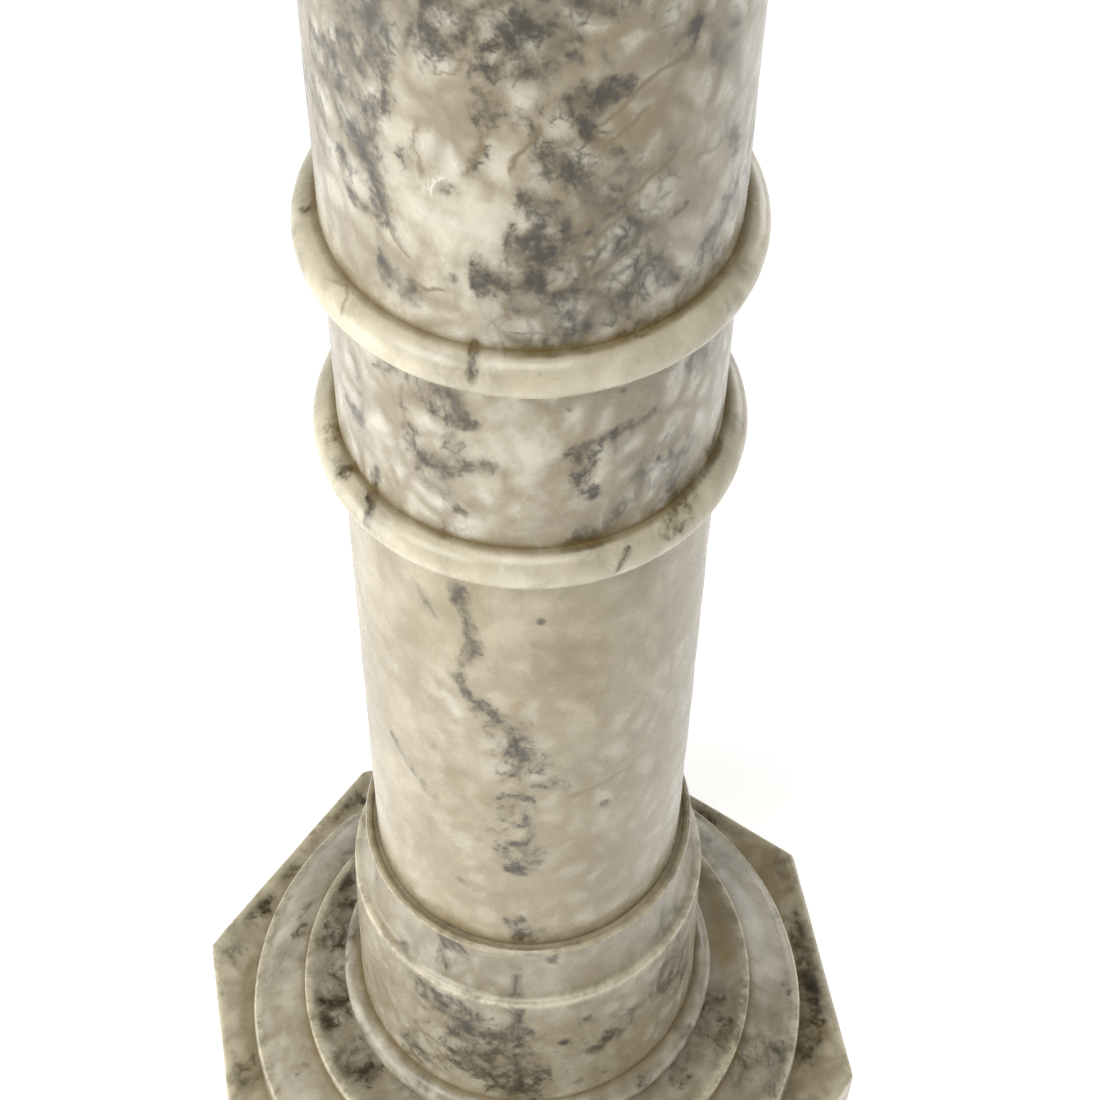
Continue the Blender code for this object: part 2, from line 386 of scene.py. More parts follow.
PALE_MARKS = (
    (18, 0.5, ((400, 38),)),
    (20, 0.5, ((455, 98),)),
    (20, 0.75, ((435, 150), (448, 156))),
    (20, 0.4, ((430, 212), (470, 228))),
    (14, 0.5, ((385, 252),)),
    (16, 0.4, ((440, 275),)),
    (15, 0.4, ((492, 166),)),
    (17, 0.35, ((542, 148),)),
    (14, 0.4, ((525, 228),)),
    (10, 0.5, ((535, 302),)),
    (14, 0.35, ((560, 58),)),
    (22, 0.35, ((660, 240), (690, 170))),
    # Painted sheen on the first ring's upper front
    (24, 0.5, ((372, 330), (430, 352))),
    (12, 0.8, ((430, 422), (438, 430))),
    (12, 0.3, ((384, 400), (386, 430))),
    (4, 0.8, ((657, 451),)),
    (20, 0.4, ((390, 500), (430, 530))),
    (9, 0.6, ((446, 694), (458, 714))),
    (14, 0.5, ((392, 664),)),
    (18, 0.5, ((440, 820), (465, 842))),
    # Painted highlights along the arris and the lip, in the next five marks
    (5, 0.9, ((412, 965), (435, 980), (455, 990))),
    (4, 1.0, ((488, 1001), (514, 1003))),
    (4, 0.8, ((365, 905), (375, 922), (382, 932))),
    (5, 0.8, ((482, 955), (530, 957), (552, 955))),
    (5, 0.8, ((540, 1002), (580, 998), (612, 985), (640, 966), (656, 950))),
    # Pale cream of the bead with a painted highlight along it, left and right
    (6, 0.85, ((346, 975), (362, 1020), (400, 1068), (432, 1094))),
    (5, 0.7, ((700, 950), (695, 1010), (660, 1055))),
    # Painted highlights along the disc's rounded rim, left and right
    (6, 0.6, ((300, 905), (262, 965), (256, 1020), (262, 1070))),
    (5, 0.6, ((725, 832), (790, 930), (797, 1000), (790, 1060))),
    (8, 0.5, ((672, 1040), (690, 1020))),
    (16, 0.4, ((300, 900), (320, 870))),
    # Painted highlight along the plinth's eased left edge
    (18, 0.8, ((228, 950), (228, 1000), (222, 1080))),
    (16, 0.4, ((325, 20), (322, 90), (332, 130))),
    (14, 0.6, ((835, 1010), (838, 1080))),
    (26, 0.55, ((300, 890), (290, 960), (292, 1060))),
    (24, 0.5, ((752, 880), (766, 960), (758, 1060))),
)
OLIVE_MARKS = (
    (7, 1.0, ((446, 187), (452, 188))),
    (60, 0.6, ((700, 20), (690, 120))),
    (50, 0.75, ((590, 150), (590, 300))),
    (34, 0.7, ((600, 20), (570, 60))),
    (50, 0.5, ((560, 330), (640, 320))),
    (30, 0.7, ((580, 440), (600, 520))),
    (30, 0.25, ((660, 400), (680, 460))),
    (14, 0.6, ((520, 395), (540, 420))),
    (28, 0.8, ((576, 650), (585, 700))),
    (16, 0.6, ((520, 600), (535, 612))),
    (36, 0.6, ((600, 760), (600, 880))),
    (24, 0.5, ((400, 640), (420, 610))),
    (14, 0.6, ((455, 780), (480, 800))),
    (30, 0.6, ((560, 1030), (640, 1040))),
    (12, 0.7, ((280, 1030),)),
    # Painted shade on the plinth beside the disc's foot
    (9, 0.8, ((250, 950), (238, 1030), (246, 1090))),
    (26, 0.5, ((662, 620), (668, 760))),
    (13, 0.8, ((684, 318), (716, 282), (738, 240))),
    (12, 0.6, ((655, 536), (690, 508))),
)
HONEY_MARKS = (
    (7, 0.5, ((602, 143),)),
    (5, 0.5, ((405, 416),)),
    (5, 0.6, ((602, 722),)),
    (8, 0.7, ((513, 705),)),
    (5, 0.5, ((468, 658),)),
    (7, 0.7, ((590, 972),)),
    (6, 0.5, ((333, 812),)),
    (18, 0.6, ((757, 850), (780, 880))),
    (10, 0.6, ((712, 900), (722, 955))),
    (6, 0.8, ((731, 955),)),
    (7, 0.5, ((826, 1034),)),
)
VEIN_MARKS = (
    (1.6, 0.7, ((353, 105), (360, 134), (369, 166), (379, 198), (398, 236), (414, 255))),
    (1.4, 0.7, ((522, 0), (514, 32), (524, 56), (532, 78))),
    (1.4, 0.7, ((704, 10), (691, 41))),
    (1.3, 0.6, ((739, 134), (729, 179), (724, 215), (712, 245))),
    (1.5, 0.7, ((524, 198), (540, 214), (549, 222), (538, 236), (536, 252), (548, 256))),
    (1.8, 0.8, ((480, 340), (473, 358), (470, 370), (466, 380))),
    (1.0, 0.6, ((726, 300), (727, 313))),
    (1.5, 0.8, ((437, 384), (452, 398), (456, 416), (474, 426))),
    (1.4, 0.8, ((412, 452), (430, 462), (452, 468), (474, 470), (487, 464))),
    (1.4, 0.7, ((378, 462), (372, 496), (366, 524))),
    (1.4, 0.5, ((556, 464), (578, 450), (602, 440), (630, 425), (656, 412))),
    (1.6, 0.9, ((628, 545), (622, 560), (616, 573))),
    (1.7, 0.9, ((455, 578), (460, 605), (466, 620), (468, 635), (475, 645), (470, 658),
                (462, 680), (468, 695), (480, 708), (495, 715), (512, 728), (515, 745),
                (524, 765), (528, 774))),
    (1.4, 0.5, ((410, 575), (425, 600), (440, 622))),
    (1.4, 0.7, ((522, 805), (530, 832), (524, 846), (532, 862))),
    (1.2, 0.6, ((388, 728), (406, 760), (430, 792))),
    (1.4, 0.8, ((516, 926), (517, 960))),
    (2.6, 1.0, ((516, 960), (517, 1010), (518, 1050), (518, 1100))),
    (1.6, 0.8, ((432, 1004), (458, 1018), (476, 1040), (482, 1052))),
    (1.6, 0.8, ((450, 1054), (476, 1064), (494, 1077), (511, 1095))),
    (1.3, 0.6, ((384, 965), (396, 985))),
    (1.5, 0.9, ((400, 940), (404, 954), (412, 962))),
    (1.4, 0.9, ((440, 940), (446, 928), (452, 946))),
    (1.3, 0.9, ((559, 950), (554, 961))),
    (1.5, 0.7, ((648, 1000), (622, 1014), (606, 1040), (592, 1052))),
)
CRACK_MARKS = (
    (1.7, 0.8, ((700, 45), (670, 62), (640, 90), (620, 112), (590, 138))),
    (1.7, 0.8, ((690, 135), (660, 170), (640, 190), (600, 210), (565, 240))),
    (1.5, 0.7, ((655, 105), (620, 135), (600, 150))),
    (1.6, 0.8, ((640, 205), (612, 222), (600, 238), (588, 250))),
    (1.5, 0.7, ((605, 258), (590, 272), (578, 285))),
    (1.5, 0.6, ((745, 115), (715, 150), (690, 160))),
    (1.7, 0.9, ((484, 128), (477, 155), (464, 176))),
    (1.6, 0.9, ((538, 122), (525, 140), (512, 158), (514, 178))),
    (1.5, 0.8, ((388, 225), (403, 248), (414, 264))),
    (1.5, 0.9, ((408, 280), (425, 289), (444, 288))),
    (1.4, 0.7, ((500, 300), (514, 320))),
    (1.5, 0.7, ((420, 120), (412, 150), (424, 180))),
    (1.5, 0.7, ((470, 60), (455, 75), (430, 72))),
    (1.0, 0.6, ((403, 380), (402, 420), (412, 445))),
    (1.0, 0.5, ((329, 279), (344, 287), (345, 300), (339, 320))),
    (1.2, 0.5, ((640, 760), (600, 785), (560, 800))),
)
SCRATCH_AND_GLINT_MARKS = (
    (0.5, 0.9, ((747, 197), (752, 201), (758, 208))),
    # The filled pit's bright rim: a painted highlight on its resin fill
    (0.6, 0.9, ((433, 200), (432, 190), (435, 181), (447, 176))),
)
DENT_MARKS = (
    (7, 1.3, ((448, 187),)),
    (2.5, -0.3, ((433, 196), (434, 186), (438, 179))),
    (8, -0.25, ((336, 288), (337, 308))),
    (2.5, 0.3, ((345, 290), (344, 316))),
    (3, 0.5, ((372, 508), (366, 524))),
    (3, 0.6, ((404, 944), (408, 958))),
    (3, 0.6, ((558, 952), (556, 960))),
    (5, 0.7, ((441, 1004),)),
    (5, 0.6, ((540, 963),)),
    (6, 0.8, ((851, 1052),)),
    (6, 0.6, ((218, 940),)),
)


def camera_place():
    """The camera's matrix: it looks down at the column from its front."""
    stand = Vector((CAMERA_DISTANCE * math.sin(CAMERA_BEARING),
                    -CAMERA_DISTANCE * math.cos(CAMERA_BEARING), CAMERA_HEIGHT))
    turn = Matrix.Rotation(CAMERA_BEARING + CAMERA_PAN, 4, "Z")
    tilt = Matrix.Rotation(math.pi / 2 - CAMERA_TILT, 4, "X")
    roll = Matrix.Rotation(CAMERA_ROLL, 4, "Z")
    return Matrix.Translation(stand) @ turn @ tilt @ roll


def make_camera():
    """The camera at the photograph's place."""
    data = bpy.data.cameras.new("camera")
    data.sensor_width = SENSOR_MM
    data.lens = SENSOR_MM * FOCAL_PIXELS / PHOTO_PIXELS
    camera = bpy.data.objects.new("camera", data)
    camera.matrix_world = camera_place()
    bpy.context.scene.collection.objects.link(camera)
    bpy.context.scene.camera = camera


# Finding where a mark of the photograph lies on the stone
def node_trees():
    """A search tree for each CAD solid, to find where a pixel of the photograph falls."""
    trees = []
    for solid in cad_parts.values():
        places = [vertex.co for vertex in solid.data.vertices]
        faces = [tuple(face.vertices) for face in solid.data.polygons]
        trees.append(BVHTree.FromPolygons(places, faces))
    return trees


def seen_place(pixel, trees):
    """The distance from the camera to the stone that a pixel of the photograph shows, and the
    point there, or None beside the stone."""
    place = camera_place()
    across = (pixel[0] - PHOTO_PIXELS / 2) / FOCAL_PIXELS
    down = (pixel[1] - PHOTO_PIXELS / 2) / FOCAL_PIXELS
    ray = (place.to_3x3() @ Vector((across, -down, -1))).normalized()
    hits = [tree.ray_cast(place.translation, ray) for tree in trees]
    hits = [(reach, point) for point, _, _, reach in hits if point is not None]
    return min(hits, key=lambda hit: hit[0]) if hits else None


def stepped(pixels):
    """The pixels of a trace, filled in to even short steps."""
    filled = [Vector(pixels[0])]
    for start, end in zip(pixels, pixels[1:]):
        start, end = Vector(start), Vector(end)
        count = max(1, round((end - start).length / PIXEL_STEP))
        filled += [start.lerp(end, step / count) for step in range(1, count + 1)]
    return filled


def traced(mark, trees):
    """A mark's points on the stone, with its half width there in metres and its strength."""
    half_width, strength, pixels = mark
    hits = [seen_place(pixel, trees) for pixel in stepped(pixels)]
    hits = [hit for hit in hits if hit]
    points = np.array([hit[1] for hit in hits]).reshape(-1, 3)
    reach = np.mean([hit[0] for hit in hits]) if hits else 1.0
    return points, half_width * reach / FOCAL_PIXELS, strength


def nearest_on_trace(places, points):
    """For each place, its offset from the nearest point of a trace, the trace's direction
    there and how far along the trace that is, from 0 to 1."""
    if len(points) == 1:
        offsets = places - points[0]
        halfway = np.full(len(places), 0.5)
        return offsets, np.zeros_like(offsets), halfway
    best = np.full(len(places), np.inf)
    offsets = np.zeros_like(places)
    aims = np.zeros_like(places)
    along = np.zeros(len(places))
    for index, (start, end) in enumerate(zip(points, points[1:])):
        aim = end - start
        share = np.clip((places - start) @ aim / max(aim @ aim, TINY), 0, 1)
        offset = places - start - share[:, None] * aim
        length = np.linalg.norm(offset, axis=1)
        nearer = length < best
        best[nearer] = length[nearer]
        offsets[nearer] = offset[nearer]
        aims[nearer] = aim
        along[nearer] = (index + share[nearer]) / (len(points) - 1)
    return offsets, aims, along


def close_to(places, points, reach):
    """The indices of the places inside the box around a trace, widened by a reach."""
    if not len(points):
        return np.empty(0, dtype=int)
    inside = (places > points.min(axis=0) - reach) & (places < points.max(axis=0) + reach)
    return np.flatnonzero(inside.all(axis=1))


def bell(places, points, half_width):
    """A soft bump along a trace, 1 on it and near 0 beyond its reach."""
    offsets, _, _ = nearest_on_trace(places, points)
    spread = np.linalg.norm(offsets, axis=1) / half_width
    return np.exp(-spread ** 2)


def soft_field(places, marks, softness):
    """How strongly the soft marks cover each place, from 0 to 1."""
    cover = np.zeros(len(places))
    for points, half_width, strength in marks:
        near = close_to(places, points, half_width * softness * SOFT_REACH)
        if len(near):
            part = strength * bell(places[near], points, half_width * softness)
            cover[near] = 1 - (1 - cover[near]) * (1 - part)
    return cover


def vein_field(places, normals, marks):
    """For each place, how many half widths it is beside the nearest vein, with a different
    sign on each side, and that vein's strength."""
    beside = np.full(len(places), VEIN_REACH)
    strengths = np.zeros(len(places))
    for points, half_width, strength in marks:
        near = close_to(places, points, half_width * VEIN_REACH)
        if len(points) < 2 or not len(near):
            continue
        offsets, aims, along = nearest_on_trace(places[near], points)
        length = np.linalg.norm(offsets, axis=1) / half_width
        side = np.sign(np.einsum("ij,ij->i", np.cross(aims, normals[near]), offsets))
        nearer = length < np.abs(beside[near])
        chosen = near[nearer]
        beside[chosen] = (length * side)[nearer]
        from_end = np.minimum(along, 1 - along)[nearer]
        fade = np.clip(from_end / VEIN_END_SHARE, 0, 1)
        apart = length[nearer] * half_width
        strengths[chosen] = strength * fade * np.clip((LINE_REACH - apart) / LINE_FADE, 0, 1)
    return beside, strengths


# Forms
def section_links(mesh):
    """Which points follow which along the edges of a turned solid that lie in the half plane
    y = 0, x > 0."""
    places = [tuple(round(value, PLACE_DIGITS) for value in vertex.co) for vertex in mesh.vertices]
    links = {}
    for edge in mesh.edges:
        ends = [places[index] for index in edge.vertices]
        if ends[0] != ends[1] and all(abs(y) < MICRON and x > MICRON for x, y, _ in ends):
            links.setdefault(ends[0], set()).add(ends[1])
            links.setdefault(ends[1], set()).add(ends[0])
    return links


def cad_profile(name):
    """A turned solid's outline as (radius, height) points from its top down."""
    links = section_links(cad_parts[name].data)
    loose_ends = [place for place in links if len(links[place]) == 1]
    walk = [max(loose_ends, key=lambda place: place[2])]
    onward = list(links[walk[0]])
    while onward:
        walk.append(onward[0])
        onward = [place for place in links[walk[-1]] if place not in walk]
    return [Vector((x, z)) for x, _, z in walk]


def slab_profile(name):
    """A slab's outline as (half its width, height) points from its top down."""
    corners = np.array([vertex.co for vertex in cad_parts[name].data.vertices])
    half = corners[:, 0].max()
    foot, top = corners[:, 2].min(), corners[:, 2].max()
    turns = [step * math.pi / 2 / SLAB_EASING_STEPS for step in range(SLAB_EASING_STEPS + 1)]
    shoulder = [(half - SLAB_EASING * (1 - math.sin(turn)), top - SLAB_EASING * (1 - math.cos(turn)))
                for turn in turns]
    outline = [(half * SLAB_INNER_SHARE, top), *shoulder, (half, foot),
               (half * SLAB_INNER_SHARE, foot)]
    return [Vector(point) for point in outline]


def hermite(start, end, leave, arrive, share):
    """A point on the curve that leaves start and arrives at end with the given slopes."""
    squared, cubed = share ** 2, share ** 3
    return (start * (2 * cubed - 3 * squared + 1) + leave * (cubed - 2 * squared + share)
            + end * (3 * squared - 2 * cubed) + arrive * (cubed - squared))


def stretches(profile):
    """The outline's straight stretches from point to point, and how far it turns at each
    point. A turn into a hollow corner counts as more than zero."""
    chords = [end - start for start, end in zip(profile, profile[1:])]
    aims = [chord.normalized() for chord in chords]
    inner = [-aim.angle_signed(after) for aim, after in zip(aims, aims[1:])]
    return chords, [0.0, *inner, 0.0]


def marked_corners(profile):
    """The outline's sharp hollow corners, darkened with dirt and painted shade, and its tight edges,
    laid pale with wear and painted highlight.
    """
    chords, turns = stretches(profile)
    creases = [tuple(place) for place, turn in zip(profile, turns) if turn > CREASE_TURN]
    edges = [tuple(profile[index]) for index in range(1, len(chords))
             if -turns[index] > EDGE_BEND * min(chords[index - 1].length, chords[index].length)]
    return creases, edges


def corner_slope(chords, turns, corner):
    """The smoothed outline's direction at a point, or None at an end or a sharp corner."""
    inner = 0 < corner < len(chords)
    smooth = inner and abs(turns[corner]) < CREASE_TURN
    return (chords[corner - 1] + chords[corner]).normalized() if smooth else None


def mirrored(aim, slope):
    """The slope at the other end of a plain arc whose chord has the given direction."""
    return 2 * aim * aim.dot(slope) - slope


def end_slopes(chords, turns, index):
    """The directions at both ends of a stretch. Beside a sharp corner it is a plain arc."""
    aim = chords[index].normalized()
    leave = corner_slope(chords, turns, index)
    arrive = corner_slope(chords, turns, index + 1)
    if leave is None and arrive is None:
        return aim, aim
    if leave is None:
        return mirrored(aim, arrive), arrive
    if arrive is None:
        return leave, mirrored(aim, leave)
    return leave, arrive


def filled(profile):
    """The outline with its arcs made smooth and evenly filled with points."""
    chords, turns = stretches(profile)
    points = []
    for index, chord in enumerate(chords):
        leave, arrive = end_slopes(chords, turns, index)
        bend = leave.angle(arrive)
        count = max(1, round(chord.length / ROW_SPACING), round(bend / ROW_TURN))
        for step in range(count):
            points.append(hermite(profile[index], profile[index + 1], leave * chord.length,
                                  arrive * chord.length, step / count))
    points.append(profile[-1])
    return np.array(points)


def octagon(angles, half, rounding):
    """The reach of a rounded octagon at each angle, for half its width across flats."""
    part = 2 * math.pi / SLAB_SIDES
    from_flat = (angles + part / 2) % part - part / 2
    flat = half / np.cos(from_flat)
    from_corner = part / 2 - np.abs(from_flat)
    middle = (half - rounding) / math.cos(part / 2)
    span = math.atan2(rounding * math.sin(part / 2), middle + rounding * math.cos(part / 2))
    square = rounding ** 2 - (middle * np.sin(from_corner)) ** 2
    arc = middle * np.cos(from_corner) + np.sqrt(np.maximum(square, 0))
    return np.where(from_corner < span, arc, flat)


def rings(points, is_slab):
    """Rows of points around the axis, one for each point of an outline."""
    angles = np.arange(AROUND) * 2 * math.pi / AROUND
    stretch = np.ones(AROUND)
    if is_slab:
        half = points[:, 0].max()
        stretch = octagon(angles, half, SLAB_CORNER_ROUNDING) / half
    reach = points[:, 0, None] * stretch
    return np.stack([reach * np.cos(angles), reach * np.sin(angles),
                     np.repeat(points[:, 1, None], AROUND, axis=1)], axis=2)


def waves(places, wavelength, seed):
    """A smooth random height at each place, about -1 to 1, with no pattern that repeats."""
    draw = np.random.default_rng(seed)
    directions = draw.normal(size=(WAVES_MIXED, 3))
    directions /= np.linalg.norm(directions, axis=1)[:, None]
    rates = 2 * math.pi / wavelength * draw.uniform(*WAVE_RATES, WAVES_MIXED)
    phases = draw.uniform(0, 2 * math.pi, WAVES_MIXED)
    mixed = np.sin(places @ (directions * rates[:, None]).T + phases).mean(axis=1)
    return mixed * WAVE_GAIN


def skin_faces(count, around):
    """The faces of a closed skin of rows, whose last two points are the middles of its ends."""
    here = np.arange(around)
    after = np.roll(here, -1)
    faces = []
    for row in range(count - 1):
        upper, lower = row * around, (row + 1) * around
        faces += np.stack([upper + here, lower + here, lower + after, upper + after], 1).tolist()
    top_index, foot_index = count * around, count * around + 1
    last = (count - 1) * around
    for first, second in zip(here.tolist(), after.tolist()):
        faces.append((top_index, first, second))
        faces.append((foot_index, last + second, last + first))
    return faces


def skin(name, rows):
    """A closed mesh from rows of points, top to bottom, with a point at the middle of each
    end."""
    count, around, _ = rows.shape
    top, foot = rows[0].mean(axis=0), rows[-1].mean(axis=0)
    places = np.vstack([rows.reshape(-1, 3), top, foot])
    mesh = bpy.data.meshes.new(name)
    mesh.from_pydata(places.tolist(), [], skin_faces(count, around))
    mesh.shade_smooth()
    mesh.set_sharp_from_angle(angle=SHARP_ANGLE)
    piece = bpy.data.objects.new(name, mesh)
    bpy.context.scene.collection.objects.link(piece)
    return piece


def mesh_places(mesh):
    """The mesh's points and normals as arrays."""
    places = np.empty(len(mesh.vertices) * 3)
    normals = np.empty(len(mesh.vertices) * 3)
    mesh.vertices.foreach_get("co", places)
    mesh.vertices.foreach_get("normal", normals)
    return places.reshape(-1, 3), normals.reshape(-1, 3)


def move_out(mesh, height):
    """Move each point of a mesh out along its normal by its own height."""
    places, normals = mesh_places(mesh)
    mesh.vertices.foreach_set("co", (places + normals * height[:, None]).ravel())
    mesh.update()


def work_surface(mesh, seed):
    """Give the surface the slight unevenness of stone shaped and rubbed by hand."""
    places, _ = mesh_places(mesh)
    move_out(mesh, waves(places, LONG_WAVE, seed) * LONG_WAVE_HEIGHT
             + waves(places, SHORT_WAVE, seed + 1) * SHORT_WAVE_HEIGHT)


def dent_surface(mesh, dents):
    """Press the dents in and raise the lumps. A dent's strength is its depth in millimetres."""
    places, _ = mesh_places(mesh)
    depth = np.zeros(len(places))
    for points, half_width, millimetres in dents:
        near = close_to(places, points, half_width * SOFT_REACH)
        if len(near):
            depth[near] += millimetres * MM * bell(places[near], points, half_width)
    move_out(mesh, -depth)


def out_from_axis(mesh, is_slab):
    """How far out from the axis each point is, measured square to a slab's sides."""
    places, _ = mesh_places(mesh)
    if not is_slab:
        return np.linalg.norm(places[:, :2], axis=1)
    turns = np.arange(SLAB_SIDES) * 2 * math.pi / SLAB_SIDES
    return (places[:, :2] @ np.stack([np.cos(turns), np.sin(turns)])).max(axis=1)


def near_line(mesh, radii, corners, reach):
    """How near each point of a mesh is to some corners of its outline, from 0 to 1."""
    places, _ = mesh_places(mesh)
    nearness = np.zeros(len(places))
    for radius, height in corners:
        apart = np.hypot(radii - radius, places[:, 2] - height)
        nearness = np.maximum(nearness, np.exp(-(apart / reach) ** 2))
    return nearness


def keep_field(mesh, name, values):
    """Store one value for each point of the mesh, for its material to read."""
    kept = mesh.attributes.new(name, "FLOAT", "POINT")
    kept.data.foreach_set("value", np.asarray(values, dtype=np.float32))


def mark_surface(mesh, marks, ring_foot, seed):
    """Store the fields that place the marks and the plainer rings, which stand proud of a
    radius."""
    places, normals = mesh_places(mesh)
    drift = np.stack([waves(places, DRIFT_WAVE, seed + DRIFT_SEED + axis) for axis in range(3)],
                     axis=1)
    drifted = places + drift * DRIFT_REACH
    keep_field(mesh, "grey", soft_field(drifted, marks["grey"], GREY_SOFTNESS))
    for name in ("pale", "honey", "olive"):
        keep_field(mesh, name, soft_field(drifted, marks[name], SOFTNESS))
    for name in ("vein", "crack", "scratch_and_glint"):
        beside, strengths = vein_field(drifted, normals, marks[name])
        keep_field(mesh, name, beside)
        keep_field(mesh, name + "_strength", strengths)
    keep_field(mesh, "proud", np.clip((out_from_axis(mesh, False) - ring_foot) / RING_BLEND, 0, 1))


def age_surface(mesh, name, creases, edges):
    """Store where creases and joints are darkened with dirt and painted shade, and where edges are
    laid pale with wear and painted highlight.
    """
    radii = out_from_axis(mesh, name in SLABS)
    # Creases and joints darken with dirt and painted shade, most widely where stones meet
    dirt_and_shade = near_line(mesh, radii, creases, CREASE_REACH)
    contact = near_line(mesh, out_from_axis(mesh, False), CONTACTS.get(name, ()), CONTACT_REACH)
    keep_field(mesh, "crease", np.maximum(dirt_and_shade, contact * CONTACT_SHADE_AND_DIRT))
    # Tight edges, laid pale later as wear and painted highlight
    keep_field(mesh, "edge", near_line(mesh, radii, edges, EDGE_REACH))


# Shading
def tone(colour):
    """A screen colour as the linear values that a shader takes, by the sRGB formula."""
    parts = [part / 255 for part in colour]
    linear = [part / 12.92 if part < 0.04045 else ((part + 0.055) / 1.055) ** 2.4
              for part in parts]
    return (*linear, 1.0)


def node(tree, kind, inputs, **settings):
    """A shader node with its settings and its inputs, which are values or other sockets."""
    made = tree.nodes.new(kind)
    for name, value in settings.items():
        setattr(made, name, value)
    for socket, value in inputs.items():
        if isinstance(value, bpy.types.NodeSocket):
            tree.links.new(value, made.inputs[socket])
        else:
            made.inputs[socket].default_value = value
    return made


def ramp(tree, value, low, high):
    """A smooth rise from 0 at low to 1 at high; it falls where low is above high."""
    return node(tree, "ShaderNodeMapRange", {0: value, 1: low, 2: high},
                interpolation_type="SMOOTHSTEP").outputs[0]


class Marble:
    """Old, worn marble for one stone, put together layer by layer over its body colour."""

    def __init__(self, name, look):
        self.look = look
        self.material = bpy.data.materials.new(name)
        self.material.use_nodes = True
        self.tree = self.material.node_tree
        self.base = tone(look["body"])
        self.make_noises()
        self.proud = self.field("proud")
        self.sunk = self.calc("SUBTRACT", 1.0, self.times(self.proud, RING_PLAINNESS))

    def calc(self, operation, first, second=0.0):
        """A sum, product or other calculation on two values."""
        return node(self.tree, "ShaderNodeMath", {0: first, 1: second},
                    operation=operation).outputs[0]

    def times(self, first, *others):
        """The product of some values."""
        for other in others:
            first = self.calc("MULTIPLY", first, other)
        return first

    def rise(self, value, ends):
        """How far a value has risen from the first of two ends to the second, from 0 to 1."""
        return ramp(self.tree, value, *ends)

    def field(self, name):
        """A value stored in the mesh."""
        return node(self.tree, "ShaderNodeAttribute", {}, attribute_name=name).outputs["Fac"]

    def lay(self, share, colour):
        """Lay one more colour over what is there, by a share."""
        under, over = MIX_COLOURS
        inputs = {MIX_SHARE: share, under: self.base, over: tone(colour)}
        mixed = node(self.tree, "ShaderNodeMix", inputs, data_type="RGBA")
        self.base = mixed.outputs[MIXED_COLOUR]

    def noise(self, place, kind):
        """Cloudy noise, 0 to 1."""
        scale, detail, rough = kind
        inputs = {"Vector": place, "Scale": scale, "Detail": detail, "Roughness": rough}
        return node(self.tree, "ShaderNodeTexNoise", inputs).outputs["Fac"]

    def centred(self, value):
        """A noise about zero."""
        return self.calc("SUBTRACT", value, NOISE_MIDDLE)

    def shifted(self, place, kind):
        """Places moved about by noise, as flowing stone is."""
        scale, detail, reach = kind
        swirl = node(self.tree, "ShaderNodeTexNoise",
                     {"Vector": place, "Scale": scale, "Detail": detail}).outputs["Color"]
        shift = node(self.tree, "ShaderNodeVectorMath", {0: swirl, 1: (NOISE_MIDDLE,) * 3},
                     operation="SUBTRACT").outputs[0]
        small = node(self.tree, "ShaderNodeVectorMath", {0: shift, "Scale": reach},
                     operation="SCALE").outputs[0]
        return node(self.tree, "ShaderNodeVectorMath", {0: place, 1: small},
                    operation="ADD").outputs[0]

    def make_noises(self):
        """The noises that the layers share. Each stone has its own part of them."""
        coords = node(self.tree, "ShaderNodeTexCoord", {}).outputs["Object"]
        start = (self.look["seed"] * STEP_PER_SEED, 0, 0)
        self.plain = node(self.tree, "ShaderNodeVectorMath",
                          {0: coords, 1: UPRIGHT_STRETCH, 2: start},
                          operation="MULTIPLY_ADD").outputs[0]
        stirred = self.shifted(self.plain, STIR)
        self.frayed = self.shifted(stirred, FRAY)
        self.broad = self.noise(stirred, BROAD_NOISE)
        self.middle = self.noise(stirred, MIDDLE_NOISE)
        self.fine = self.noise(stirred, FINE_NOISE)
        middle_share, fine_share = MOTTLE_SHARES
        self.mottle = self.calc("ADD", self.times(self.middle, middle_share),
                                self.times(self.fine, fine_share))

    def add_body(self):
        """The body, mottled with a lighter tone and with warm olive clouds."""
        self.lay(self.rise(self.mottle, LIGHT_BY_MOTTLE), self.look["light"])
        warm = self.times(self.rise(self.broad, WARM_BY_BROAD), self.look["warm"])
        warm = self.calc("MAXIMUM", warm, self.field("olive"))
        warm = self.times(warm, self.rise(self.middle, WARM_BY_MIDDLE), self.sunk)
        self.lay(warm, self.look["olive"])

    def greyness(self):
        """How dense the grey is: loose clouds of it, and the marks with torn edges."""
        loose = self.times(self.rise(self.broad, CLOUD_BY_BROAD),
                           self.rise(self.middle, CLOUD_BY_MIDDLE), self.look["clouds"], self.sunk)
        grey = self.field("grey")
        torn = self.calc("ADD", grey, self.times(self.centred(self.fine), TEAR))
        placed = self.times(self.rise(torn, GREY_TORN), self.rise(grey, GREY_BY_MARK))
        return self.calc("ADD", loose, placed)

    def web(self, scale, density):
        """A web of dark lines between cells, soft beside each line, that thickens and closes
        up where the stone is dense."""
        edge = node(self.tree, "ShaderNodeTexVoronoi", {"Vector": self.frayed, "Scale": scale},
                    feature="DISTANCE_TO_EDGE").outputs["Distance"]
        border = self.calc("POWER", self.rise(edge, WEB_BORDER), WEB_BORDER_POWER)
        soft = self.times(border, self.rise(density, WEB_SOFT_DENSITY))
        width = self.calc("ADD", self.times(density, WEB_LINE_GROWTH), WEB_LINE_WIDTH)
        line = self.calc("SUBTRACT", 1.0, self.calc("DIVIDE", edge, width))
        line = self.times(self.rise(line, FULL_RISE), self.rise(density, WEB_LINE_DENSITY))
        return border, soft, line

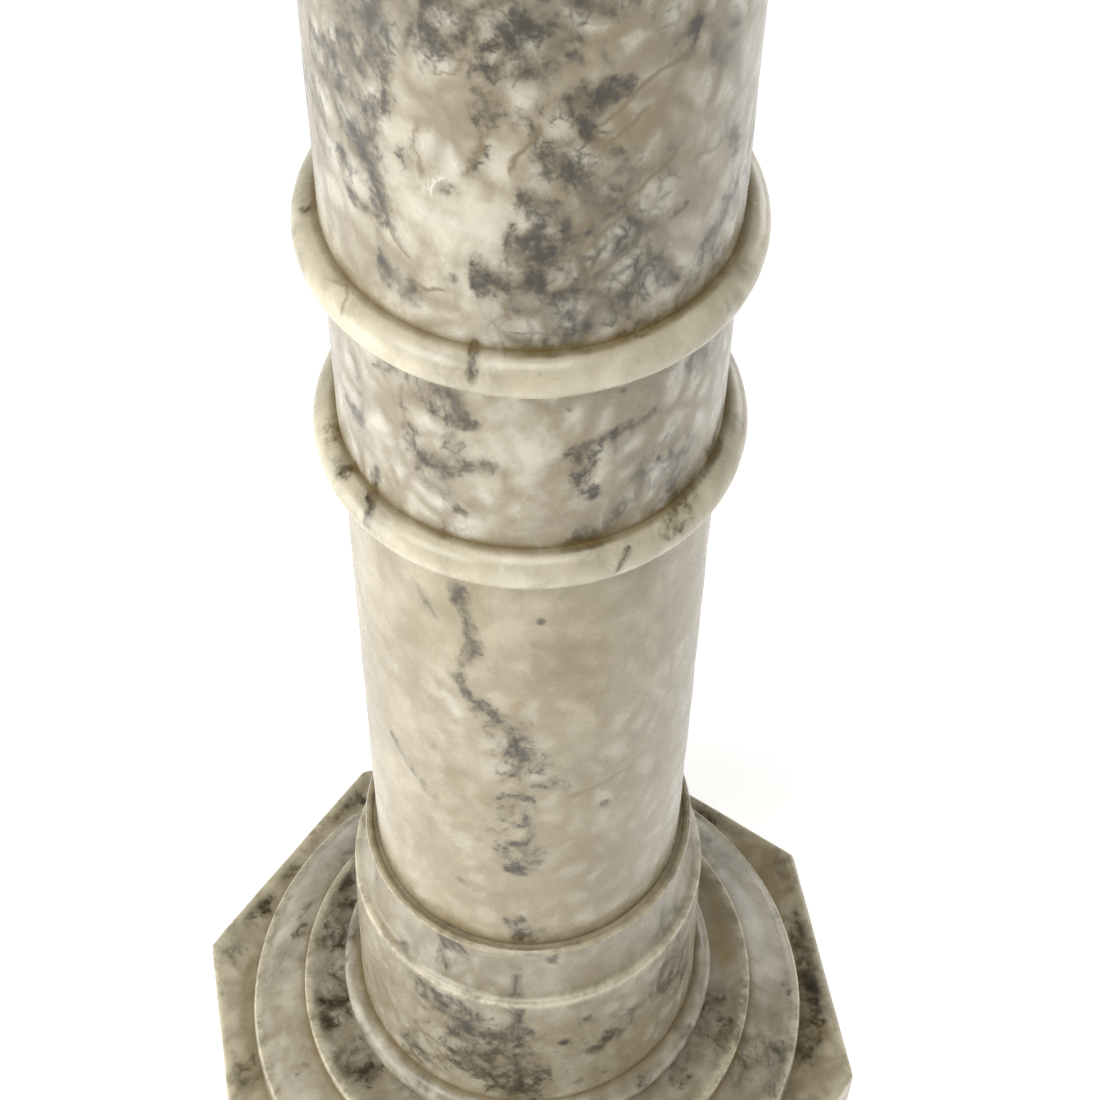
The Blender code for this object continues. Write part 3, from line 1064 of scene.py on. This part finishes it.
    def add_pale(self, border):
        """Pale cells and marks, and the cream of the rings."""
        spots = self.times(self.rise(border, SPOT_BY_BORDER), self.look["spots"],
                           self.rise(self.broad, SPOT_BY_BROAD),
                           self.rise(self.mottle, SPOT_BY_MOTTLE))
        pale = self.field("pale")
        torn = self.calc("ADD", pale, self.centred(self.fine))
        pale = self.times(self.rise(torn, PALE_TORN), pale)
        self.lay(self.calc("MAXIMUM", spots, pale), self.look["milk"])
        cream = self.times(self.proud, self.rise(self.middle, CREAM_BY_MIDDLE), CREAM_COVER)
        self.lay(cream, self.look["cream"])

    def add_greys(self, density, wide, small):
        """Grey clouds, the two webs over them, and dark clumps where the grey is dense."""
        border, wide_soft, wide_line = wide
        _, small_soft, small_line = small
        self.lay(self.times(self.calc("MINIMUM", density, 1.0), CLOUD_COVER), self.look["grey"])
        thread = self.times(border, self.rise(self.middle, BORDER_BY_MIDDLE),
                            self.look["borders"], self.sunk)
        self.lay(thread, self.look["thread"])
        soft = self.calc("MAXIMUM", wide_soft, self.times(small_soft, WEB_SOFT_SHARE))
        self.lay(self.times(soft, SOFT_COVER), self.look["grey"])
        lines = self.calc("MAXIMUM", wide_line, self.times(small_line, WEB_LINE_SHARE))
        lines = self.times(lines, self.rise(self.fine, LINE_BY_FINE), LINE_COVER)
        self.lay(lines, self.look["dark"])
        clump = self.calc("ADD", self.fine, self.times(density, CLUMP_GROWTH))
        clump = self.times(self.rise(clump, CLUMP_BY_FINE), self.rise(density, CLUMP_BY_DENSITY),
                           CLUMP_COVER)
        self.lay(clump, self.look["dark"])

    def beside(self, kind, wander, sway):
        """How far a place is from a line of the given kind, once the line wanders."""
        return self.calc("ABSOLUTE", self.calc("ADD", self.field(kind), self.times(wander, sway)))

    def add_lines(self):
        """The dark veins, the thin cracks and scratches, and the painted glint on a pit's rim."""
        wander = self.centred(self.noise(self.plain, WANDER_NOISE))
        beside = self.beside("vein", wander, VEIN_SWAY)
        vein = self.calc("MAXIMUM", self.times(self.rise(beside, VEIN_SIDES), VEIN_SIDES_COVER),
                         self.times(self.rise(beside, VEIN_CORE), VEIN_CORE_COVER))
        vein = self.times(vein, self.field("vein_strength"), self.rise(self.fine, VEIN_BY_FINE))
        self.lay(vein, self.look["dark"])
        for kind, colour, sway in (("crack", "thread", CRACK_SWAY),
                                   ("scratch_and_glint", "milk", SCRATCH_AND_GLINT_SWAY)):
            line = self.rise(self.beside(kind, wander, sway), CRACK_SIDES)
            self.lay(self.times(line, self.field(kind + "_strength")), self.look[colour])

    def add_age(self):
        """Honey stains, tight edges laid pale with wear and painted highlight, and dirt with painted
        shade in the creases.
        """
        patchy = self.rise(self.fine, PATCHY_BY_FINE)
        self.lay(self.times(self.field("honey"), patchy), HONEY)
        # Tight edges laid cream: partly wear, partly painted highlight on the rounded arrises
        self.lay(self.times(self.field("edge"), patchy, EDGE_WEAR_AND_HIGHLIGHT_COVER), self.look["cream"])
        # Creases and joints darkened ochre: dirt, with painted shade
        dirt_and_shade = self.times(self.field("crease"), self.rise(self.fine, DIRT_AND_SHADE_BY_FINE), DIRT_AND_SHADE_COVER)
        self.lay(dirt_and_shade, OCHRE_DIRT_AND_SHADE)

    def add_polish(self):
        """Join the layers to the surface, with its polish and its faint unevenness."""
        shader = self.tree.nodes["Principled BSDF"]
        self.tree.links.new(self.base, shader.inputs["Base Color"])
        rough = self.calc("ADD", self.times(self.fine, ROUGH_BY_FINE), self.look["rough"])
        self.tree.links.new(rough, shader.inputs["Roughness"])
        bump = node(self.tree, "ShaderNodeBump", {"Height": self.middle, "Strength": BUMP_STRENGTH,
                                                  "Distance": BUMP_HEIGHT})
        self.tree.links.new(bump.outputs[0], shader.inputs["Normal"])


def marble(name, look):
    """The finished material of one stone."""
    stone = Marble(name, look)
    stone.add_body()
    density = stone.greyness()
    wide = stone.web(WIDE_WEB, density)
    small = stone.web(SMALL_WEB, density)
    stone.add_pale(wide[0])
    stone.add_greys(density, wide, small)
    stone.add_lines()
    stone.add_age()
    stone.add_polish()
    return stone.material


def make_stone(name, marks):
    """One stone of the pedestal, with its surface worked and its marks in place."""
    is_slab = name in SLABS
    outline = slab_profile(name) if is_slab else cad_profile(name)
    piece = skin(name + "_stone", rings(filled(outline), is_slab))
    seed = LOOKS[name]["seed"] * SEEDS_PER_STONE
    mark_surface(piece.data, marks, RING_FOOT.get(name, math.inf), seed)
    age_surface(piece.data, name, *marked_corners(outline))
    work_surface(piece.data, seed)
    dent_surface(piece.data, marks["dent"])
    piece.data.materials.append(marble(name + "_marble", LOOKS[name]))
    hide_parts(name)
    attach(piece, "root")


def make_stones():
    """All six stones."""
    trees = node_trees()
    lists = {"grey": GREY_MARKS, "pale": PALE_MARKS, "honey": HONEY_MARKS,
             "olive": OLIVE_MARKS, "vein": VEIN_MARKS, "crack": CRACK_MARKS,
             "scratch_and_glint": SCRATCH_AND_GLINT_MARKS, "dent": DENT_MARKS}
    marks = {kind: [traced(mark, trees) for mark in found] for kind, found in lists.items()}
    for name in LOOKS:
        make_stone(name, marks)


# Surroundings
def make_floor():
    """A plain white floor, faintly glowing like a light table so that shadows stay faint."""
    mesh = bpy.data.meshes.new("floor")
    half = FLOOR_HALF
    mesh.from_pydata([(-half, -half, 0), (half, -half, 0), (half, half, 0), (-half, half, 0)],
                     [], [(0, 1, 2, 3)])
    floor = bpy.data.objects.new("floor", mesh)
    bpy.context.scene.collection.objects.link(floor)
    material = bpy.data.materials.new("floor")
    material.use_nodes = True
    shader = material.node_tree.nodes["Principled BSDF"]
    shader.inputs["Base Color"].default_value = tone(FLOOR_WHITE)
    shader.inputs["Roughness"].default_value = FLOOR_ROUGHNESS
    shader.inputs["Emission Color"].default_value = WHITE
    shader.inputs["Emission Strength"].default_value = FLOOR_GLOW
    mesh.materials.append(material)


def make_light(name, place, aim, size, power):
    """A square soft light that shines from a place towards another."""
    data = bpy.data.lights.new(name, "AREA")
    data.size = size
    data.energy = power
    light = bpy.data.objects.new(name, data)
    place, aim = Vector(place), Vector(aim)
    turn = (aim - place).to_track_quat("-Z", "Y").to_matrix().to_4x4()
    light.matrix_world = Matrix.Translation(place) @ turn
    bpy.context.scene.collection.objects.link(light)


def make_world():
    """Soft light from all around, brightest at and below the horizon."""
    world = bpy.data.worlds.new("world")
    bpy.context.scene.world = world
    world.use_nodes = True
    tree = world.node_tree
    aim = node(tree, "ShaderNodeTexCoord", {}).outputs["Generated"]
    height = node(tree, "ShaderNodeSeparateXYZ", {0: aim}).outputs[2]
    fall = ramp(tree, height, WORLD_BAND, 0.0)
    low, high = MIX_VALUES
    inputs = {MIX_SHARE: fall, low: WORLD_LIGHT, high: HORIZON_LIGHT}
    glow = node(tree, "ShaderNodeMix", inputs).outputs[0]
    tree.links.new(glow, tree.nodes["Background"].inputs["Strength"])
    tree.nodes["Background"].inputs["Color"].default_value = WHITE


def make_lights():
    """The soft studio lights, whose colours the picture shows as they are."""
    make_world()
    for light in LIGHTS:
        make_light(*light)
    bpy.context.scene.view_settings.view_transform = "Standard"


make_camera()
make_stones()
make_floor()
make_lights()
